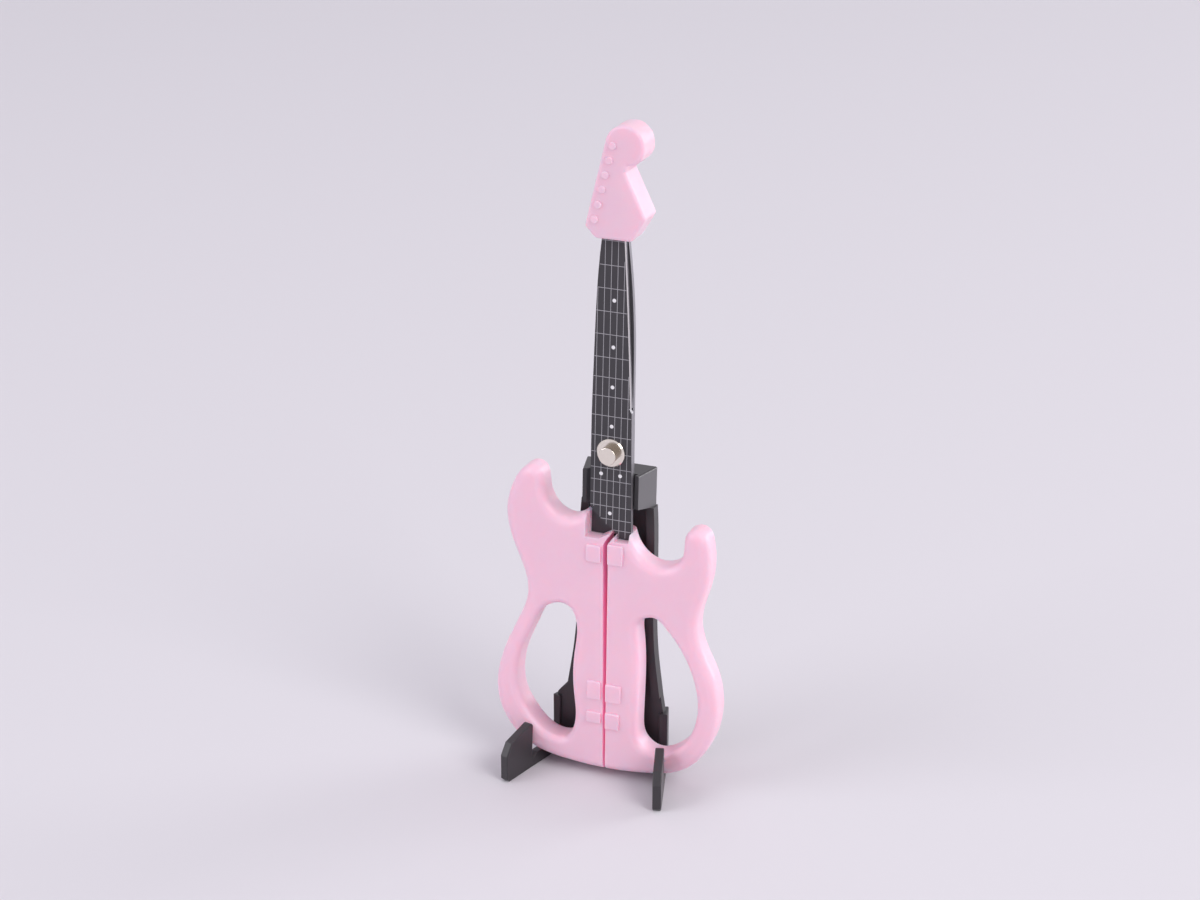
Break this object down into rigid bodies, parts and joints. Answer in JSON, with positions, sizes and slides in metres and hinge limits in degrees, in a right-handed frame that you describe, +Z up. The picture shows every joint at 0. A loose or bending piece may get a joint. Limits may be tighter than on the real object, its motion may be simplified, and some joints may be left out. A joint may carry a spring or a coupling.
{
  "type": "guitar shaped scissors with stand",
  "caption": "Scissors shaped like an electric guitar, with rounded loop handles, a fretted neck as blades and a headstock blade cap, leaning in a small stand with hooks.",
  "frame": {"origin": "middle of the bounding box on the floor, under the stand", "axes": "+Z up, the front of the guitar faces -Y, +X to the viewer's right"},
  "size_m": [0.0672, 0.0312, 0.1919],
  "materials": {
    "handle_plastic": "satin pink moulded plastic",
    "cap_plastic": "satin pink moulded plastic",
    "blade_coating": "dark grey coated steel",
    "pivot_nickel": "nickel plated",
    "stand_plastic": "matte black moulded plastic"
  },
  "bodies": {
    "stand": {"neck_rest": "stand_plastic", "back_frame": "stand_plastic", "left_arm": "stand_plastic", "right_arm": "stand_plastic"},
    "rear_half": {"left_handle": "handle_plastic", "rear_blade": "blade_coating", "pivot_screw": "pivot_nickel", "pivot_washer": "pivot_nickel", "pivot_nut": "pivot_nickel"},
    "front_half": {"right_handle": "handle_plastic", "front_blade": "blade_coating"},
    "cap": {"blade_cap": "cap_plastic"}
  },
  "joints": [
    {"name": "lean_out", "type": "hinge", "parent": "stand", "child": "rear_half", "pos_m": [0, -0.0044, 0.0131], "axis": [1, 0, 0], "range_deg": [0, 20]},
    {"name": "blade_pivot", "type": "hinge", "parent": "rear_half", "child": "front_half", "pos_m": [-0.00057, 0.00611, 0.0988], "axis": [0, -0.9986, 0.0523], "range_deg": [0, 50]},
    {"name": "cap_slide", "type": "slide", "parent": "rear_half", "child": "cap", "axis": [0, 0.0523, 0.9986], "range_m": [0, 0.03]}
  ]
}
